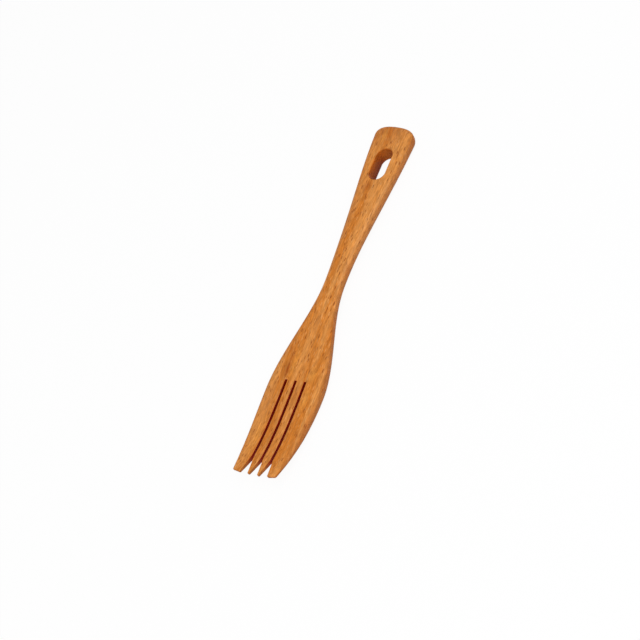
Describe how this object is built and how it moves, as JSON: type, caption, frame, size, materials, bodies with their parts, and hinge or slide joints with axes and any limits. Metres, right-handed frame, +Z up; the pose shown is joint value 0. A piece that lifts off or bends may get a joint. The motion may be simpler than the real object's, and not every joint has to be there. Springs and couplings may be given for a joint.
{
  "type": "wooden appetizer fork",
  "caption": "Flat wooden fork with a waisted handle that ends aslant, a hanging eye near that end and a bowed head that saw kerfs part into tines, for picking up small bites of food.",
  "frame": {"origin": "centre of the fork's bounding box on the ground, with the fork lying on its back", "axes": "+Y from the tines to the handle's end, +Z up out of the hollow front face, +X across the fork to the right of someone who holds the handle and looks at that face"},
  "size_m": [0.0254, 0.1652, 0.0091],
  "materials": {
    "oiled_beech": "oiled satin"
  },
  "bodies": {
    "root": {"fork_body": "oiled_beech"}
  },
  "joints": []
}
